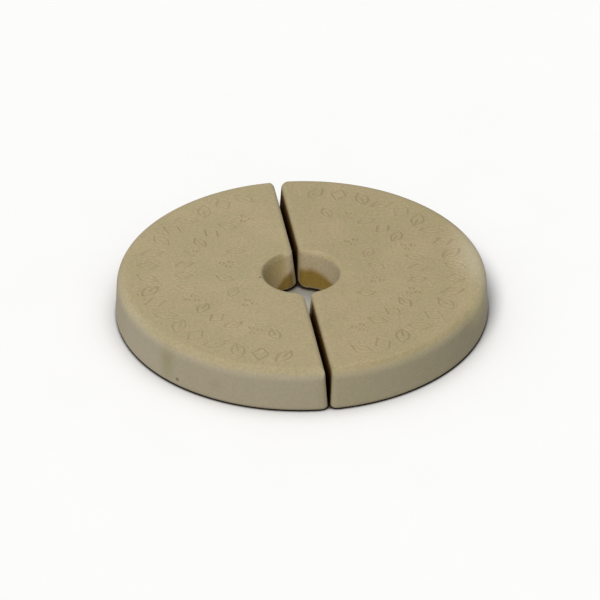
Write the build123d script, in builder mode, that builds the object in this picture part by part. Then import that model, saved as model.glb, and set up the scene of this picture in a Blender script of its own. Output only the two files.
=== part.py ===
from build123d import *
import os
from math import cos, radians, sin, tan

# A crock weight: two unglazed stoneware half-rings that lie side by side on the food in a
# fermentation crock and hold it under the brine. Together they make a thick round disc with a
# finger hole in the middle. The two are castings from one mould, turned to face each other.
# The origin is the middle of the foot, +Z is up, and the split between the halves runs along Y.

# Driving dimensions, in millimetres and degrees
OUTER_DIAMETER = 222.0  # of the pair, at the foot
THICKNESS = 26.0
HOLE_DIAMETER = 41.6  # at the foot
WALL_DRAFT = 3.4  # every wall leans away from the mould, so each half is widest at its foot
SPLIT_GAP = 0.8  # between the feet of the halves

SHOULDER_ROUND = 7.0  # over the outer top edge
RIM_ROUND = 3.2  # over the top edges of the split face and the hole
FOOT_CHAMFER = 1.2  # the sharp edge of the foot is sponged off
SHOULDER_CLEARANCE = 0.02  # the shoulder's turned form stands off the wall and the top by this

# How each half lies: its turn about +Z, then the plan rounds of its four corners at the foot, in
# order along its own split face: at the outer wall, at the hole, at the hole and at the outer
# wall. The corners are rubbed down by hand, so they aren't all alike.
HALVES = {
    "left_half_weight": (180, (7.5, 8.0, 9.0, 5.0)),
    "right_half_weight": (0, (5.0, 8.0, 9.0, 7.5)),
}

os.makedirs("parts", exist_ok=True)

outer_radius = OUTER_DIAMETER / 2
hole_radius = HOLE_DIAMETER / 2

for name, (turn, corner_rounds) in HALVES.items():
    # In the half's own plane, +X leads from the split into the half and +Y runs along the split.
    into_half = Vector(cos(radians(turn)), sin(radians(turn)), 0)
    foot = Plane(origin=(0, 0, 0), x_dir=into_half, z_dir=(0, 0, 1))
    section = Plane(origin=(0, 0, 0), x_dir=into_half, z_dir=-foot.y_dir)

    with BuildPart() as half_weight:
        with BuildSketch(foot) as outline:
            Circle(outer_radius)
            Circle(hole_radius, mode=Mode.SUBTRACT)
            with Locations((SPLIT_GAP / 2, 0)):
                Rectangle(
                    outer_radius,
                    OUTER_DIAMETER,
                    align=(Align.MIN, Align.CENTER),
                    mode=Mode.INTERSECT,
                )
            corners_along_split = (-outer_radius, -hole_radius, hole_radius, outer_radius)
            for along_split, corner_round in zip(corners_along_split, corner_rounds):
                corner = outline.vertices().sort_by_distance((0, along_split))[0]
                fillet(corner, corner_round)
        extrude(amount=THICKNESS, taper=WALL_DRAFT)
        fillet(half_weight.faces().sort_by(Axis.Z)[-1].edges(), RIM_ROUND)
        chamfer(half_weight.faces().sort_by(Axis.Z)[0].edges(), FOOT_CHAMFER)

        with BuildSketch(section) as turned_form:
            top = THICKNESS + SHOULDER_CLEARANCE
            foot_reach = outer_radius + SHOULDER_CLEARANCE
            top_reach = foot_reach - top * tan(radians(WALL_DRAFT))
            with BuildLine():
                Polyline((0, 0), (foot_reach, 0), (top_reach, top), (0, top), close=True)
            make_face()
            shoulder = turned_form.vertices().sort_by_distance((top_reach, top))[0]
            fillet(shoulder, SHOULDER_ROUND)
        revolve(axis=Axis.Z, mode=Mode.INTERSECT)

    half_weight.part.label = name
    export_step(half_weight.part, f"parts/{name}.step")
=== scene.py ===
from math import atan2, ceil, cos, exp, pi, radians, sin, sqrt, tan
from random import Random

import bpy
from mathutils import Matrix, Vector, noise
from mathutils.geometry import delaunay_2d_cdt
from mathutils.kdtree import KDTree


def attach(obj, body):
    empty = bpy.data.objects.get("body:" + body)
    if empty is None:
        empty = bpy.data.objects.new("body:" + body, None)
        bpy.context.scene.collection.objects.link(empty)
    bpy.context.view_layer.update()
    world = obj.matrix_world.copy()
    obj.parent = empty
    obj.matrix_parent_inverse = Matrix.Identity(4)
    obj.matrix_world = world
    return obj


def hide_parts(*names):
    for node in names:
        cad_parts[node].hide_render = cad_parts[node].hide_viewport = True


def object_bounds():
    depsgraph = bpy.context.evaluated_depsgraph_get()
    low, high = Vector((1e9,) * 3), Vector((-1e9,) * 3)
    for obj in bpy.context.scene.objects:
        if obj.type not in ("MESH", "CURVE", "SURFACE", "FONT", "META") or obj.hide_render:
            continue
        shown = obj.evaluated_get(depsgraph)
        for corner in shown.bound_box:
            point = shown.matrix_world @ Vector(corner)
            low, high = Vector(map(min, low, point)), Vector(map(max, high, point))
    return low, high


# A crock weight: two unglazed stoneware half-rings, cast in one mould, pressed with rows of leaves,
# lozenges and berries, and laid side by side. Each half is modelled closely here, from the foot to
# the pressed lines on its top, inside the outline of its plain solid in the frame.

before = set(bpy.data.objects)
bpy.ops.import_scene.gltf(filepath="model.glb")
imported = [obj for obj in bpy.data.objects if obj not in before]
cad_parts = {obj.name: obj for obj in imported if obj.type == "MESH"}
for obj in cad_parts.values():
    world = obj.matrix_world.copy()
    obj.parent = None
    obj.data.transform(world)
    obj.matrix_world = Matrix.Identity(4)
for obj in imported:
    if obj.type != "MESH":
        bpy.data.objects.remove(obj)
cad_low, cad_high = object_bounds()

MM = 0.001

# The form of a half
TOP = cad_high.z
WALL_DRAFT = radians(3.4)
FOOT_ROUND = 2.3 * MM
OUTER_RADIUS = cad_high.x + FOOT_ROUND * tan(WALL_DRAFT)  # at the foot, like the next two
HOLE_RADIUS = 20.8 * MM
SPLIT_FACE = 0.4 * MM  # from the middle of the gap to each split face
RIM_ROUND = 3.2 * MM
SHOULDER_ROUND = 7.0 * MM

# How each half lies: its turn about +Z, then the plan rounds of its corners in mm, in order along
# its own split face, each at the foot and where the rim turns into the top
HALVES = {
    "left_half": (pi, [(7.5, 4.5), (8.0, 3.6), (9.5, 5.0), (3.3, 1.8)]),
    "right_half": (0.0, [(3.6, 1.8), (5.5, 2.5), (8.5, 3.8), (7.8, 9.5)]),
}

# The split strays a little at both sides of the hole, most at the feet: where, and how far to +X
TOES = [(Vector((0.0, 27.0)) * MM, 1.2 * MM), (Vector((0.0, -26.0)) * MM, -1.0 * MM)]
TOE_REACH = 9.0 * MM
TOE_HEIGHT = 24.0 * MM

# The hand of the maker: how far the surface dips inside the true form
SKIN = 0.09 * MM  # everywhere
SLOW_DIPS = (0.16 * MM, 45 * MM)  # depth and spacing
QUICK_DIPS = (0.07 * MM, 9 * MM)

# The pressed lines
LINE_REACH = 0.85 * MM  # from the middle of a line to where its side meets the top
LINE_DEPTH = 0.50 * MM
LIP_HEIGHT = 0.12 * MM  # of the clay that a line's sides push up
LIP_REACH = 0.55 * MM
LINE_PACE = 0.2 * MM  # between the points that a line is made of
LINE_DUST_SHADE = 0.38  # how much dust and painted shade a line holds, where a pinhole holds 1
OUTER_ROW = (91.5 * MM, 14.6 * MM, radians(76))  # radius, pace and last bearing from the middle
INNER_ROW = (69.5 * MM, 13.2 * MM, radians(69))
INNERMOST_ROW = (45.5 * MM, 16.0 * MM, radians(40))
BEARING_STRAY = 0.004  # of the hand that presses a motif
TILT_STRAY = 0.04
LIFT_STRAY = 0.25 * MM
WEAR_SPACING = 22 * MM

# Pinholes in the top: bearing from +X in degrees, distance from the axis, size
PINHOLES = [(-173.8, 99.2 * MM, 0.8 * MM), (-170.0, 97.0 * MM, 0.8 * MM)]
PINHOLE_DEPTH = 0.6  # of its size
STRAY_PINHOLES = 14  # more of them for each half, small and anywhere within these limits
STRAY_DISTANCES = (28 * MM, 100 * MM)
STRAY_BEARING = 1.4  # either way from the middle of the half
STRAY_SIZES = (0.3 * MM, 0.45 * MM)

# How close the mesh's points are
RING_PACE = 1.1 * MM
OUTER_COUNT = 300  # points along each run of a ring
SPLIT_COUNT = 72
HOLE_COUNT = 48
CORNER_COUNT = 12
FOOT_STEPS = 6  # up the round of the foot
RIM_STEPS = 9
FOOT_PACE = 4.0 * MM
FOOT_CLEARANCE = 0.5  # of the pace, between a lattice and the edge round it
TOP_CLEARANCE = 0.6

# The same on the top: up to this far from a pressed line or a pinhole, this close
TOP_PACES = [(1.5 * MM, 0.3 * MM), (3.2 * MM, 0.8 * MM), (1.0, 1.7 * MM)]


# Plan and wall

def arc(centre, radius, start, end, count):
    turns = [start + (end - start) * i / count for i in range(count)]
    return [centre + Vector((cos(turn), sin(turn))) * radius for turn in turns]


def straight(start, end, count):
    return [start.lerp(end, i / count) for i in range(count)]


def plan(inset, share, corners):
    """The half's outline this far inside the foot's edge and this share of the way to the flat of the
    top, in its own axes: +X leads in from the split."""
    middle = Vector((0, 0))
    outer_radius = OUTER_RADIUS - inset
    hole_radius = HOLE_RADIUS + inset
    split = SPLIT_FACE + inset

    def placed(radius, corner, side):
        """A corner's round: its centre, its radius, and the turn from the axis to its centre."""
        at_foot, at_top = corner
        size = (at_foot + (at_top - at_foot) * share) * MM
        x = split + size
        y = sqrt((radius + side * size) ** 2 - x ** 2)
        return Vector((x, y)), size, atan2(y, x)

    first_outer, first_hole, last_hole, last_outer = corners
    near, near_size, near_turn = placed(outer_radius, first_outer, -1)
    inner, inner_size, inner_turn = placed(hole_radius, first_hole, 1)
    other, other_size, other_turn = placed(hole_radius, last_hole, 1)
    far, far_size, far_turn = placed(outer_radius, last_outer, -1)
    near.y, inner.y = -near.y, -inner.y
    return (
        arc(middle, outer_radius, -near_turn, far_turn, OUTER_COUNT)
        + arc(far, far_size, far_turn, pi, CORNER_COUNT)
        + straight(Vector((split, far.y)), Vector((split, other.y)), SPLIT_COUNT)
        + arc(other, other_size, pi, pi + other_turn, CORNER_COUNT)
        + arc(middle, hole_radius, other_turn, -inner_turn, HOLE_COUNT)
        + arc(inner, inner_size, pi - inner_turn, pi, CORNER_COUNT)
        + straight(Vector((split, inner.y)), Vector((split, near.y)), SPLIT_COUNT)
        + arc(near, near_size, pi, 2 * pi - near_turn, CORNER_COUNT)
    )


def round_centre(height, radius):
    """How far inside the foot's edge a round's centre is, where the round touches the wall."""
    return radius / cos(WALL_DRAFT) + height * tan(WALL_DRAFT)


def wall_profile():
    """The wall from the foot to the flat of the top, as pairs of inset and height."""
    foot_in = round_centre(FOOT_ROUND, FOOT_ROUND)
    rim_height = TOP - RIM_ROUND
    rim_in = round_centre(rim_height, RIM_ROUND)
    foot_shares = [i / FOOT_STEPS for i in range(FOOT_STEPS + 1)]
    foot_turns = [-pi / 2 + (pi / 2 + WALL_DRAFT) * share for share in foot_shares]
    foot = [(foot_in - FOOT_ROUND * cos(a), FOOT_ROUND * (1 + sin(a))) for a in foot_turns]
    rim_shares = [i / RIM_STEPS for i in range(RIM_STEPS + 1)]
    rim_turns = [WALL_DRAFT + (pi / 2 - WALL_DRAFT) * share for share in rim_shares]
    rim = [(rim_in - RIM_ROUND * cos(a), rim_height + RIM_ROUND * sin(a)) for a in rim_turns]
    steps = ceil((rim[0][1] - foot[-1][1]) / RING_PACE)
    shares = [i / steps for i in range(1, steps)]
    wall = [tuple(a + (b - a) * s for a, b in zip(foot[-1], rim[0])) for s in shares]
    return foot + wall + rim


def wall_rings(corners):
    """The rings of points up the wall, from the edge of the foot to the edge of the flat top."""
    profile = wall_profile()
    deepest = profile[-1][0]
    rings = []
    for inset, height in profile:
        edge = plan(inset, inset / deepest, corners)
        rings.append([Vector((p.x, p.y, height)) for p in edge])
    return rings


def under_shoulder(point):
    """Moves a point of the half onto the outer shoulder's round, where it stands outside it."""
    centre_height = TOP - SHOULDER_ROUND
    centre_radius = OUTER_RADIUS - round_centre(centre_height, SHOULDER_ROUND)
    radius = point.xy.length
    away = Vector((radius - centre_radius, point.z - centre_height))
    if min(away) <= 0 or away.length <= SHOULDER_ROUND:
        return point
    away *= SHOULDER_ROUND / away.length
    across = point.xy * ((centre_radius + away.x) / radius)
    return Vector((across.x, across.y, centre_height + away.y))


# Pressed motifs, sized in mm. Each is a list of lines round its own middle, with +Y away from the hole

def line(start, end, bow=0.0):
    """Points along a line whose middle stands off its chord by the bow."""
    start, end = Vector(start) * MM, Vector(end) * MM
    chord = end - start
    aside = Vector((-chord.y, chord.x)).normalized() * bow * MM
    count = ceil(chord.length / LINE_PACE)
    return [start.lerp(end, i / count) + aside * sin(pi * i / count) for i in range(count + 1)]


def leaf(length, width):
    tail, tip = (0, -length / 2), (0, length / 2)
    vein = line((0, -length * 0.5), (0, length * 0.05))
    return [line(tail, tip, width / 2), line(tail, tip, -width / 2), vein]


def lozenge(width, height):
    corners = [(width / 2, 0), (0, height / 2), (-width / 2, 0), (0, -height / 2)]
    return [line(corners[i - 1], corners[i]) for i in range(4)]


def berries(apart, radius):
    """Three small rings, the first one outwards."""
    ways = [Vector((cos(2 * pi * i / 24), sin(2 * pi * i / 24))) for i in range(24)]
    ring = [way * radius * MM for way in ways]
    middles = [way * apart * MM / sqrt(3) for way in ways[6::8]]
    return [[middle + point for point in ring] for middle in middles]


def pressed_points(seed):
    """Every point of the pressed lines on the top of a half, in the half's own axes."""
    hand = Random(seed)
    points = []

    def press(lines, radius, bearing, tilt):
        turn = Matrix.Rotation(tilt + hand.gauss(0, TILT_STRAY), 2)
        lift = hand.gauss(0, LIFT_STRAY)
        for one_line in lines:
            for point in one_line:
                across, out = turn @ point
                reach = radius + lift + out
                round_to = bearing - across / radius
                points.append(Vector((reach * cos(round_to), reach * sin(round_to), 0)))

    def row(place, motifs):
        """A row of motifs by turns, each with its tilt."""
        radius, pace, last = place
        gaps = round(2 * last * radius / pace)
        for i in range(gaps + 1):
            bearing = -last + 2 * last * i / gaps + hand.gauss(0, BEARING_STRAY)
            lines, tilt = motifs[i % len(motifs)]
            press(lines, radius, bearing, tilt)

    outer_leaf, inner_leaf, innermost_leaf = leaf(14.5, 7.5), leaf(12, 6.2), leaf(11.5, 6)
    three = berries(5.4, 1.3)
    row(OUTER_ROW, [(outer_leaf, 0.6), (lozenge(9.5, 13), 0), (outer_leaf, -0.6)])
    row(INNER_ROW, [(three, 0), (inner_leaf, 0.5), (lozenge(8.5, 11), 0), (inner_leaf, -0.5)])
    row(INNERMOST_ROW, [(innermost_leaf, 0.7), (three, 0), (innermost_leaf, -0.7)])
    return points


def pinholes(seed, turn):
    """The pinholes of the half that lies at this turn, in its own axes, as pairs of place and size."""
    hand = Random(40 + seed)
    found = [(radians(bearing), radius, size) for bearing, radius, size in PINHOLES]
    for _ in range(STRAY_PINHOLES):
        radius = hand.uniform(*STRAY_DISTANCES)
        bearing = turn + hand.uniform(-STRAY_BEARING, STRAY_BEARING)
        found.append((bearing, radius, hand.uniform(*STRAY_SIZES)))
    placed = []
    for bearing, radius, size in found:
        in_frame = Vector((radius * cos(bearing), radius * sin(bearing), 0))
        place = Matrix.Rotation(-turn, 3, "Z") @ in_frame
        if place.x > 0:
            placed.append((place, size))
    return placed


# The mesh of a half

def lattice(pace):
    """Points of a triangular lattice over the plan of a half."""
    rows = ceil(2 * OUTER_RADIUS / (pace * sqrt(0.75)))
    columns = ceil(OUTER_RADIUS / pace)
    for row in range(rows):
        y = -OUTER_RADIUS + row * pace * sqrt(0.75)
        for column in range(columns):
            yield Vector(((column + 0.5 * (row % 2)) * pace, y, 0))


def tree_of(points):
    """The points in a tree that finds the nearest one in plan."""
    tree = KDTree(len(points))
    for i, point in enumerate(points):
        tree.insert((point.x, point.y, 0), i)
    tree.balance()
    return tree


def inside(ring, ring_tree, point, clearance):
    """Whether a point is inside a ring, which runs anticlockwise, by the clearance at least."""
    _, nearest, away = ring_tree.find((point.x, point.y, 0))
    along = ring[(nearest + 1) % len(ring)] - ring[nearest - 1]
    return away > clearance and along.xy.cross((point - ring[nearest]).xy) > 0


def top_lattice(edge, detail):
    """Points over the flat top inside its edge, closer together near the detail pressed in it."""
    edge_tree = tree_of(edge)
    detail_tree = tree_of(detail)
    found = []
    band_start = 0.0
    for band_end, pace in TOP_PACES:
        for point in lattice(pace):
            in_band = band_start <= detail_tree.find(point)[2] < band_end
            if in_band and inside(edge, edge_tree, point, TOP_CLEARANCE * pace):
                found.append(point + Vector((0, 0, TOP)))
        band_start = band_end
    return found


def foot_lattice(edge):
    """Points over the flat foot inside its edge."""
    edge_tree = tree_of(edge)
    clearance = FOOT_CLEARANCE * FOOT_PACE
    return [p for p in lattice(FOOT_PACE) if inside(edge, edge_tree, p, clearance)]


def fill(ring, inner_points):
    """Triangles over the inside of a ring, as numbers of the ring's points and then the inner ones."""
    flat = [Vector((p.x, p.y)) for p in ring + inner_points]
    edge = list(range(len(ring)))
    inside_only, nearest = 1, 1e-7
    _, _, triangles, sources, _, _ = delaunay_2d_cdt(flat, [], [edge], inside_only, nearest)
    return [[sources[i][0] for i in triangle] for triangle in triangles]


def half_faces(rings, top_points, foot_points):
    """Quads up the wall, then triangles over the top and the foot. The points are numbered ring by
    ring from the foot up, then over the top, then over the foot."""
    count = len(rings[0])
    last_ring = (len(rings) - 1) * count
    top_start = last_ring + count
    foot_start = top_start + len(top_points)
    faces = []
    for below in range(0, last_ring, count):
        for i in range(count):
            j = (i + 1) % count
            faces.append((below + i, below + j, below + count + j, below + count + i))
    for face in fill(rings[-1], top_points):
        faces.append([last_ring + i if i < count else top_start + i - count for i in face])
    for face in fill(rings[0], foot_points):
        faces.append([i if i < count else foot_start + i - count for i in reversed(face)])
    return faces


def bowl(away, reach):
    """1 in the middle and 0 from the reach outwards, with a soft edge."""
    return 0.5 + 0.5 * cos(pi * away / reach) if away < reach else 0.0


def line_section(away):
    """How deep a pressed line is this far from its middle, with the low lip that its sides push up."""
    lip = LIP_HEIGHT * exp(-((away - LINE_REACH - LIP_REACH / 2) / (LIP_REACH / 2)) ** 2)
    return LINE_DEPTH * bowl(away, LINE_REACH) - lip


def dips(place):
    """How far the maker's hand has taken the surface below the true form."""
    slow_depth, slow_spacing = SLOW_DIPS
    quick_depth, quick_spacing = QUICK_DIPS
    slow = 0.5 + 0.5 * noise.noise(place / slow_spacing)
    quick = 0.5 + 0.5 * noise.noise(place / quick_spacing)
    return SKIN + slow_depth * slow + quick_depth * quick


def slumped(place):
    """How far the split strays towards +X at a place in the frame."""
    low = max(0.0, 1 - place.z / TOE_HEIGHT)
    return sum(lean * bowl((place.xy - toe).length, TOE_REACH) * low for toe, lean in TOES)


def unworn(place):
    """The share of the pressed lines that wear has left at a place in the frame."""
    return min(1.0, max(0.6, 0.9 + 0.6 * noise.noise(place / WEAR_SPACING)))


def pressed_top(lines, holes):
    """Makes the function that tells how deep the top is pressed at a point, and how much dust and
    painted shade it holds.
    """
    line_tree = tree_of(lines)
    hole_tree = tree_of([place for place, _ in holes])

    def pressed_at(point, place):
        in_plan = Vector((point.x, point.y, 0))
        away = line_tree.find(in_plan)[2]
        left = unworn(place)
        _, nearest, to_hole = hole_tree.find(in_plan)
        size = holes[nearest][1]
        pinhole = bowl(to_hole, size)
        depth = line_section(away) * left + pinhole * size * PINHOLE_DEPTH
        dust_shade = max(LINE_DUST_SHADE * left * bowl(away, LINE_REACH), min(1.0, 1.5 * pinhole))
        return depth, dust_shade

    return pressed_at


def half_mesh(name, seed, turn, corners):
    """A half's mesh, turned to its place. Its foot stays flat, and all the rest is worked by hand."""
    rings = wall_rings(corners)
    lines = pressed_points(seed)
    holes = pinholes(seed, turn)
    top_points = top_lattice(rings[-1], lines + [place for place, _ in holes])
    foot_points = foot_lattice(rings[0])
    points = [under_shoulder(p) for ring in rings for p in ring]
    top_start = len(points)
    points += [under_shoulder(p) for p in top_points]
    foot_start = len(points)
    points += foot_points

    lay = Matrix.Rotation(turn, 3, "Z")
    mesh = bpy.data.meshes.new(name)
    mesh.from_pydata([lay @ p for p in points], [], half_faces(rings, top_points, foot_points))
    mesh.update()
    normals = [v.normal.copy() for v in mesh.vertices]
    dust_and_shade = mesh.attributes.new("dust_and_shade", "FLOAT", "POINT")
    pressed_at = pressed_top(lines, holes)
    for i in range(len(rings[0]), foot_start):
        place = mesh.vertices[i].co
        sunk = dips(place)
        if i >= top_start:
            depth, dust_shade = pressed_at(points[i], place)
            sunk += depth
            dust_and_shade.data[i].value = dust_shade
        mesh.vertices[i].co = place - normals[i] * sunk + Vector((slumped(place), 0, 0))
    mesh.polygons.foreach_set("use_smooth", [True] * len(mesh.polygons))
    mesh.update()
    return mesh


# Finishes

def colour(red, green, blue):
    return (red, green, blue, 1.0)


def at_bearing(degrees, radius, height):
    """A place on the weight in mm, by its bearing from +X, distance from the axis and height."""
    turn = radians(degrees)
    return (radius * cos(turn), radius * sin(turn), height)


class Finish:
    """A material in the making: its nodes, and the tone that they give so far."""

    def __init__(self, name):
        self.material = bpy.data.materials.new(name)
        self.material.use_nodes = True
        self.tree = self.material.node_tree
        self.shader = self.tree.nodes["Principled BSDF"]
        self.coords = self.node("ShaderNodeTexCoord").outputs["Object"]
        self.tone = None

    def node(self, kind, values=None, **settings):
        """Adds a node with its settings, and its inputs' values or links."""
        made = self.tree.nodes.new(kind)
        for name, value in settings.items():
            setattr(made, name, value)
        for name, value in (values or {}).items():
            if isinstance(value, bpy.types.NodeSocket):
                self.tree.links.new(value, made.inputs[name])
            else:
                made.inputs[name].default_value = value
        return made

    def feed(self, values):
        """Links values to the shader's inputs by their names."""
        for name, value in values.items():
            self.tree.links.new(value, self.shader.inputs[name])

    def maths(self, operation, a, b=0.0):
        return self.node("ShaderNodeMath", {0: a, 1: b}, operation=operation).outputs[0]

    def times(self, first, *others):
        """Several masks or shares multiplied together."""
        for other in others:
            first = self.maths("MULTIPLY", first, other)
        return first

    def between(self, value, low, high):
        """0 at low and 1 at high, with a smooth rise between them."""
        values = {"Value": value, "From Min": low, "From Max": high}
        made = self.node("ShaderNodeMapRange", values, interpolation_type="SMOOTHSTEP")
        return made.outputs["Result"]

    def from_to(self, mask, at_0, at_1):
        """One number where the mask is 0 and another where it is 1, in proportion between them."""
        values = {"Value": mask, "To Min": at_0, "To Max": at_1}
        return self.node("ShaderNodeMapRange", values).outputs["Result"]

    def mixed(self, share, first, second, blend="MIX"):
        """Two colours mixed. The node's colours are its inputs 6 and 7 and its output 2."""
        values = {0: share, 6: first, 7: second}
        made = self.node("ShaderNodeMix", values, data_type="RGBA", blend_type=blend)
        return made.outputs[2]

    def lay(self, mask, share, tone, blend="MIX"):
        """Lays this share of a tone over the present one, where the mask is 1."""
        self.tone = self.mixed(self.times(mask, share), self.tone, tone, blend)

    def cloud(self, spacing, detail=3.0, roughness=0.5):
        """Noise whose features are about the spacing apart."""
        values = {"Vector": self.coords, "Scale": 1 / spacing, "Detail": detail, "Roughness": roughness}
        return self.node("ShaderNodeTexNoise", values).outputs["Fac"]

    def blot(self, centre, spread, ragged):
        """A soft patch round a point, 1 inside it, with its spread along X, Y and Z, all in mm. Noise
        pushes its border about, as far as it is ragged."""
        centre = [value * MM for value in centre]
        spread = [value * MM for value in spread]
        moved = self.node("ShaderNodeVectorMath", {0: self.coords, 1: centre}, operation="SUBTRACT")
        values = {0: moved.outputs[0], 1: spread}
        scaled = self.node("ShaderNodeVectorMath", values, operation="DIVIDE")
        away = self.node("ShaderNodeVectorMath", {0: scaled.outputs[0]}, operation="LENGTH")
        pushed = self.times(self.cloud(min(spread) * 0.8), ragged)
        return self.between(self.maths("ADD", away.outputs["Value"], pushed), 1.0 + ragged, 0.3)

    def bumped(self, height, distance, **under):
        """The normal that a height gives, over another one where a Normal is given."""
        values = {"Height": height, "Strength": 0.3, "Distance": distance, **under}
        return self.node("ShaderNodeBump", values).outputs["Normal"]

    def openness(self, reach, samples):
        """1 in the open, and less where anything stands closer than the reach."""
        made = self.node("ShaderNodeAmbientOcclusion", {"Distance": reach}, samples=samples)
        return made.outputs["AO"]


# The upper edge of the painted shadow low in the hole is the lowest of three slopes: how much each
# falls along +X, and how far below the level it starts at the split
HOLE_SHADOW_SLOPES = [(0.28, 0.0), (-0.25, 4.2 * MM), (-1.1, -2 * MM)]

# The stains in the order that they are laid: their places, their spread and their raggedness, as a
# blot takes them, then how strong they are and their tone
STAINS = {
    "warm_patch": (at_bearing(-26, 108, 19.5), (16, 24, 8), 0.4, 0.55, colour(0.53, 0.455, 0.24)),
    "pale_wall": (at_bearing(-155, 110, 9), (30, 55, 16), 0.4, 0.27, colour(0.475, 0.418, 0.335)),
    "streak": (at_bearing(-143, 109, 13), (7, 7, 13), 0.6, 0.7, colour(0.29, 0.255, 0.140)),
    "speck": (at_bearing(-138.8, 110.3, 5.2), (1.4,) * 3, 0.5, 0.9, colour(0.12, 0.075, 0.03)),
    "dull_foot": (at_bearing(-125, 110, 10), (6, 6, 5), 0.6, 0.4, colour(0.31, 0.265, 0.155)),
    "dull_corner": ((-4, -109, 13), (5, 4, 14), 0.5, 0.5, colour(0.335, 0.285, 0.165)),
    "slip": ((-7.6, 10, 25), (3.0, 1.4, 2), 0.6, 0.6, colour(0.55, 0.50, 0.38)),
    "tinge": ((-6.0, 36, TOP / MM), (1.3, 26, 4), 0.5, 0.35, colour(0.41, 0.385, 0.165)),
    "fleck": (at_bearing(-173.5, 25.3, 25.7), (1.0,) * 3, 0.4, 0.9, colour(0.12, 0.065, 0.035)),
}


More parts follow.
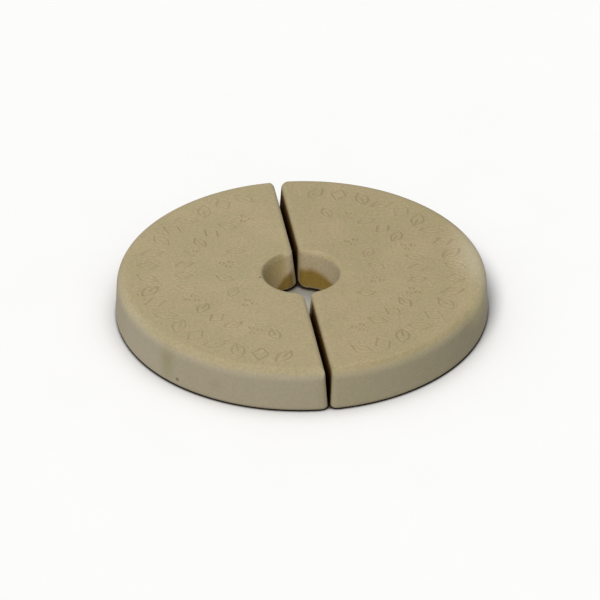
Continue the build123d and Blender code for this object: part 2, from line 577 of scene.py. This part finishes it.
class Stoneware(Finish):
    """Buff stoneware, fired without glaze. Each step lays its tones over those of the steps before."""

    def __init__(self, name):
        super().__init__(name)
        place = self.node("ShaderNodeSeparateXYZ", {"Vector": self.coords})
        self.x, self.y, self.z = place.outputs
        normal = self.node("ShaderNodeNewGeometry").outputs["Normal"]
        facing = self.node("ShaderNodeSeparateXYZ", {"Vector": normal})
        self.facing_x, _, self.facing_up = facing.outputs
        across = self.maths("POWER", self.x, 2.0)
        along = self.maths("POWER", self.y, 2.0)
        self.from_axis = self.maths("SQRT", self.maths("ADD", across, along))

        # The parts of the surface
        self.right_hand = self.between(self.x, -1 * MM, 1 * MM)
        self.left_hand = self.maths("SUBTRACT", 1.0, self.right_hand)
        self.outside = self.between(self.from_axis, 96 * MM, 104 * MM)
        self.wall = self.times(self.between(self.facing_up, 0.88, 0.35), self.outside)
        self.in_hole = self.between(self.from_axis, 27 * MM, 24 * MM)
        self.hole_wall = self.times(self.between(self.facing_up, 0.5, 0.2), self.in_hole)
        past_hole = self.between(self.from_axis, 26 * MM, 33 * MM)
        before_wall = self.between(self.from_axis, 110 * MM, 107 * MM)
        self.in_gap = self.times(past_hole, before_wall, self.between(self.facing_up, 0.68, 0.22))
        self.open_air = self.openness(9 * MM, 8)
        # painted shade in the gap, where little open air reaches
        self.gap_shade = self.times(self.between(self.open_air, 0.60, 0.28), self.in_gap)
        self.dust_and_shade = self.node("ShaderNodeAttribute", attribute_name="dust_and_shade").outputs["Fac"]
        self.grain = self.cloud(1.6 * MM, 4.0, 0.65)

    def fire_body(self):
        """The body of the clay, with the warm and greenish clouds of the kiln. The right-hand casting
        came out of it a shade darker."""
        warm = self.between(self.cloud(30 * MM), 0.40, 0.66)
        green = self.between(self.cloud(10 * MM, 2.0), 0.48, 0.70)
        pink = self.between(self.cloud(8 * MM, 2.0), 0.55, 0.72)
        self.tone = self.mixed(warm, colour(0.402, 0.335, 0.190), colour(0.432, 0.352, 0.205))
        self.lay(green, 0.4, colour(0.388, 0.337, 0.182))
        self.lay(pink, 0.5, colour(0.450, 0.350, 0.225))
        self.lay(self.right_hand, 1.0, colour(0.955, 0.95, 0.93), "MULTIPLY")

    def paint_wall_light(self):
        """The outer walls are greyer than the top, a painted stand-in for the cooler light on them, and
        they have painted shade on their shoulders, darker to the front."""
        # painted light: the walls' grey tone stands in for the cooler light that falls on them
        self.lay(self.wall, 0.85, colour(0.396, 0.348, 0.248))
        front = self.between(self.y, -20 * MM, -75 * MM)
        shoulder = self.times(self.between(self.facing_up, 0.995, 0.88), self.outside)
        shaded_front_shoulder = self.times(shoulder, front)
        # painted shade on the front shoulders, more of it on the right half
        self.lay(shaded_front_shoulder, 0.5, colour(0.86, 0.86, 0.85), "MULTIPLY")
        self.lay(self.times(shaded_front_shoulder, self.right_hand), 1.0, colour(0.96, 0.96, 0.90), "MULTIPLY")

    def rub_and_light_edges(self):
        """Rounded edges are paler, partly rubbed and partly a painted highlight, most of all at the
        outer edge on two sides, where the pale bands are painted highlights.
        """
        low_turned = self.between(self.facing_up, 0.35, 0.7)
        turned = self.times(self.between(self.facing_up, 0.995, 0.93), low_turned)
        clean = self.between(self.dust_and_shade, 0.08, 0.0)
        # painted highlights: pale bands along the outer edge on the right and on the left
        right_highlight = self.blot(at_bearing(0, 108, 22), (20, 52, 18), 0.4)
        left_highlight = self.blot(at_bearing(196, 112, TOP / MM), (14, 46, 16), 0.5)
        patchy = self.times(self.between(self.cloud(22 * MM), 0.35, 0.65), 0.10)
        at_sides = self.times(self.maths("ADD", right_highlight, left_highlight), 0.22)
        much = self.maths("ADD", patchy, at_sides)
        self.lay(self.times(turned, clean), much, colour(0.50, 0.445, 0.33))
        self.lay(right_highlight, 0.75, colour(0.53, 0.465, 0.32))

    def paint_hole_light(self):
        """Painted light and shade in the hole. The tones of its wall stand in for the light in it:
        warmer on the left, a painted warm bounce light, where its rim is darker too, away from the
        split, a painted shade; and its corner beside the split is pale, a painted highlight."""
        # painted shade on the left rim of the hole
        rim_turned = self.times(self.between(self.facing_up, 0.96, 0.75), self.in_hole)
        shaded_left_rim = self.times(self.between(self.x, -7 * MM, -11 * MM), rim_turned)
        self.lay(shaded_left_rim, 1.0, colour(0.74, 0.73, 0.69), "MULTIPLY")
        # painted light: the wall's tones stand in for the direct light on the right and the warm bounce
        # light on the left
        right_lit_tone, left_bounce_tone = colour(0.455, 0.375, 0.245), colour(0.535, 0.42, 0.20)
        self.lay(self.hole_wall, 0.7, self.mixed(self.left_hand, right_lit_tone, left_bounce_tone))
        # painted highlight on the corner beside the split
        beside_gap = self.times(self.between(self.x, -8 * MM, -4 * MM), self.left_hand)
        rim_down = self.times(self.between(self.facing_up, 0.8, 0.35), self.in_hole)
        self.lay(self.times(beside_gap, rim_down), 0.8, colour(0.66, 0.57, 0.39))

    def paint_hole_shadow(self):
        """A golden-brown painted shadow low in the hole, warm as if lit only by bounce light, reddish
        at its upper edge, with a pale painted highlight at the foot.
        """
        wander = self.times(self.cloud(14 * MM, 2.0), 4 * MM)
        level = self.maths("SUBTRACT", self.z, wander)
        drops = [self.maths("ADD", self.times(self.x, fall), start) for fall, start in HOLE_SHADOW_SLOPES]
        most = self.maths("MAXIMUM", self.maths("MAXIMUM", drops[0], drops[1]), drops[2])
        raised = self.maths("ADD", level, most)
        edge = self.times(self.hole_wall, self.between(raised, 17 * MM, 12.5 * MM))
        shadow_core = self.times(self.hole_wall, self.between(raised, 15 * MM, 11 * MM))
        foot = self.times(self.hole_wall, self.between(self.z, 2.5 * MM, 1.7 * MM))
        # painted shadow, with its reddish upper edge and its golden-brown core
        self.lay(edge, 0.7, colour(0.36, 0.235, 0.115))
        self.lay(shadow_core, 0.92, colour(0.225, 0.144, 0.018))
        # painted highlight on the foot's round
        self.lay(foot, 0.45, colour(0.44, 0.375, 0.26))

    def stain(self):
        for place, spread, ragged, strength, tone in STAINS.values():
            self.lay(self.blot(place, spread, ragged), strength, tone)

    def dust_shade_and_iron(self):
        """Dust and painted shade in the pressed lines and pinholes, a fine grain all over, and sparse
        specks of iron.
        """
        # dust with painted shade in the pressed lines and pinholes
        self.lay(self.dust_and_shade, 0.75, colour(0.19, 0.145, 0.070))
        grain_tone = self.between(self.grain, 0.25, 0.75)
        grain_share = self.from_to(self.wall, 0.12, 0.06)
        self.tone = self.mixed(grain_share, self.tone, grain_tone, "OVERLAY")
        cells = self.node("ShaderNodeTexVoronoi", {"Vector": self.coords, "Scale": 1 / (5 * MM)})
        chance = self.node("ShaderNodeSeparateColor", {"Color": cells.outputs["Color"]}).outputs["Red"]
        chosen = self.maths("GREATER_THAN", chance, 0.93)
        dot = self.between(cells.outputs["Distance"], 0.085, 0.04)
        self.lay(self.times(chosen, dot), 0.6, colour(0.14, 0.10, 0.05))

    def darken_gap(self):
        """Painted shade in the narrow gap between the halves, below their rims, where little open air
        reaches: dark brown, and nearly black deepest in. The left half's edges beside it are pale where
        they turn in outside it, a painted highlight."""
        out_of_gap = self.maths("SUBTRACT", 1.0, self.in_gap)
        split_edge = self.times(self.between(self.x, -9 * MM, -5 * MM), self.left_hand)
        turned_in = self.times(self.between(self.facing_x, 0.6, 0.95), split_edge)
        # painted highlight on the left half's turned-in edges beside the gap
        self.lay(self.times(turned_in, out_of_gap), 0.7, colour(0.62, 0.56, 0.42))
        # painted shade in the gap, nearly black where it is deepest
        self.lay(self.gap_shade, 1.0, colour(0.17, 0.085, 0.010))
        deepest = self.times(self.between(self.open_air, 0.38, 0.10), self.in_gap)
        self.lay(deepest, 1.0, colour(0.03, 0.009, 0.001))

    def surface(self):
        """Dry and matt, with hardly any gloss in the gap, and soft dimples under the tooth of the
        grain."""
        roughness = self.from_to(self.cloud(12 * MM), 0.72, 0.92)
        gloss = self.from_to(self.gap_shade, 0.28, 0.02)
        tooth = self.bumped(self.grain, 0.12 * MM)
        dimples = self.bumped(self.cloud(4.5 * MM, 2.0), 0.3 * MM, Normal=tooth)
        self.feed({"Base Color": self.tone, "Roughness": roughness})
        self.feed({"Specular IOR Level": gloss, "Normal": dimples})


def bisque_stoneware():
    clay = Stoneware("bisque_stoneware")
    clay.fire_body()
    clay.paint_wall_light()
    clay.rub_and_light_edges()
    clay.paint_hole_light()
    clay.paint_hole_shadow()
    clay.stain()
    clay.dust_shade_and_iron()
    clay.darken_gap()
    clay.surface()
    return clay.material


def pale_table():
    """A plain table, nearly white to the camera and greyer in the light that it throws back, with
    painted shade where little open sky reaches it, most of all in the hole, and a painted contact
    shadow along the foot.
    """
    top = Finish("pale_table")
    path = top.node("ShaderNodeLightPath")
    seen = top.maths("MAXIMUM", path.outputs["Is Camera Ray"], path.outputs["Is Glossy Ray"])
    from_axis = top.node("ShaderNodeVectorMath", {0: top.coords}, operation="LENGTH").outputs["Value"]
    in_hole = top.between(from_axis, 32 * MM, 26 * MM)
    mottle = top.between(top.cloud(60 * MM), 0.3, 0.7)
    # painted shade, darker where little open sky reaches the table
    open_sky = top.between(top.openness(45 * MM, 12), 0.25, 0.85)
    # painted contact shadow along the foot, stronger in the hole
    contact_shadow = top.maths("ADD", top.openness(3.5 * MM, 12), top.times(in_hole, -0.19))
    shade = top.mixed(in_hole, colour(0.36, 0.36, 0.36), colour(0.19, 0.18, 0.14))
    shown = top.mixed(mottle, colour(0.985, 0.985, 0.985), colour(0.995, 0.995, 0.995))
    shown = top.mixed(open_sky, shade, shown)
    shown = top.mixed(top.between(contact_shadow, 0.75, 0.35), shown, colour(0.02, 0.012, 0.008))
    top.feed({"Base Color": top.mixed(seen, colour(0.50, 0.50, 0.51), shown)})
    top.shader.inputs["Roughness"].default_value = 0.9
    top.shader.inputs["Specular IOR Level"].default_value = 0.1
    return top.material


# The weight

scene = bpy.context.scene
stoneware = bisque_stoneware()
for seed, (body, lie) in enumerate(HALVES.items()):
    half = bpy.data.objects.new(f"{body}_stoneware", half_mesh(f"{body}_stoneware", seed, *lie))
    scene.collection.objects.link(half)
    half.data.materials.append(stoneware)
    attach(half, body)
    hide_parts(f"{body}_weight")


# Table, light and camera

TABLE_REACH = 3.0  # from the middle to each side

LAMP_PLACE = (-34, 55)  # azimuth from -Y and elevation in degrees, like the camera's
CAMERA_PLACE = (-7.98, 32.45)
CAMERA_DISTANCE = 2.369
CAMERA_ROLL = radians(-0.5)
CAMERA_LENS = 238.6
AIM_RIGHT = -1.08 * MM  # where the camera looks, from the middle of the foot
AIM_UP = 4.77 * MM


def from_weight(azimuth, elevation):
    """The way from the weight towards something that stands at this azimuth and elevation."""
    turn, rise = radians(azimuth), radians(elevation)
    return Vector((sin(turn) * cos(rise), -cos(turn) * cos(rise), sin(rise)))


def lay_table():
    corners = [(-1, -1, 0), (1, -1, 0), (1, 1, 0), (-1, 1, 0)]
    mesh = bpy.data.meshes.new("table")
    mesh.from_pydata([Vector(corner) * TABLE_REACH for corner in corners], [], [(0, 1, 2, 3)])
    mesh.materials.append(pale_table())
    table = bpy.data.objects.new("table", mesh)
    scene.collection.objects.link(table)


def hang_lights():
    softbox = bpy.data.lights.new("softbox", "SUN")
    softbox.energy = 2.1
    softbox.angle = radians(28)
    softbox.color = (1.0, 0.98, 0.95)
    lamp = bpy.data.objects.new("softbox", softbox)
    lamp.rotation_euler = from_weight(*LAMP_PLACE).to_track_quat("Z", "Y").to_euler()
    scene.collection.objects.link(lamp)

    room = bpy.data.worlds.new("room")
    room.use_nodes = True
    room_light = room.node_tree.nodes["Background"].inputs
    room_light["Color"].default_value = colour(0.96, 0.98, 1.0)
    room_light["Strength"].default_value = 0.46
    scene.world = room


def set_camera():
    optics = bpy.data.cameras.new("camera")
    optics.lens = CAMERA_LENS
    optics.sensor_width = 36.0
    camera = bpy.data.objects.new("camera", optics)
    overhead = Vector((0, 0, 1))
    back = from_weight(*CAMERA_PLACE)
    right = overhead.cross(back).normalized()
    camera.location = back * CAMERA_DISTANCE
    look = (right * AIM_RIGHT + back.cross(right) * AIM_UP - camera.location).normalized()
    level = look.cross(overhead).normalized()
    raised = level.cross(look)
    across = level * cos(CAMERA_ROLL) + raised * sin(CAMERA_ROLL)
    upward = raised * cos(CAMERA_ROLL) - level * sin(CAMERA_ROLL)
    camera.rotation_euler = Matrix((across, upward, -look)).transposed().to_euler()
    scene.collection.objects.link(camera)
    scene.camera = camera


lay_table()
hang_lights()
set_camera()
scene.view_settings.view_transform = "Standard"
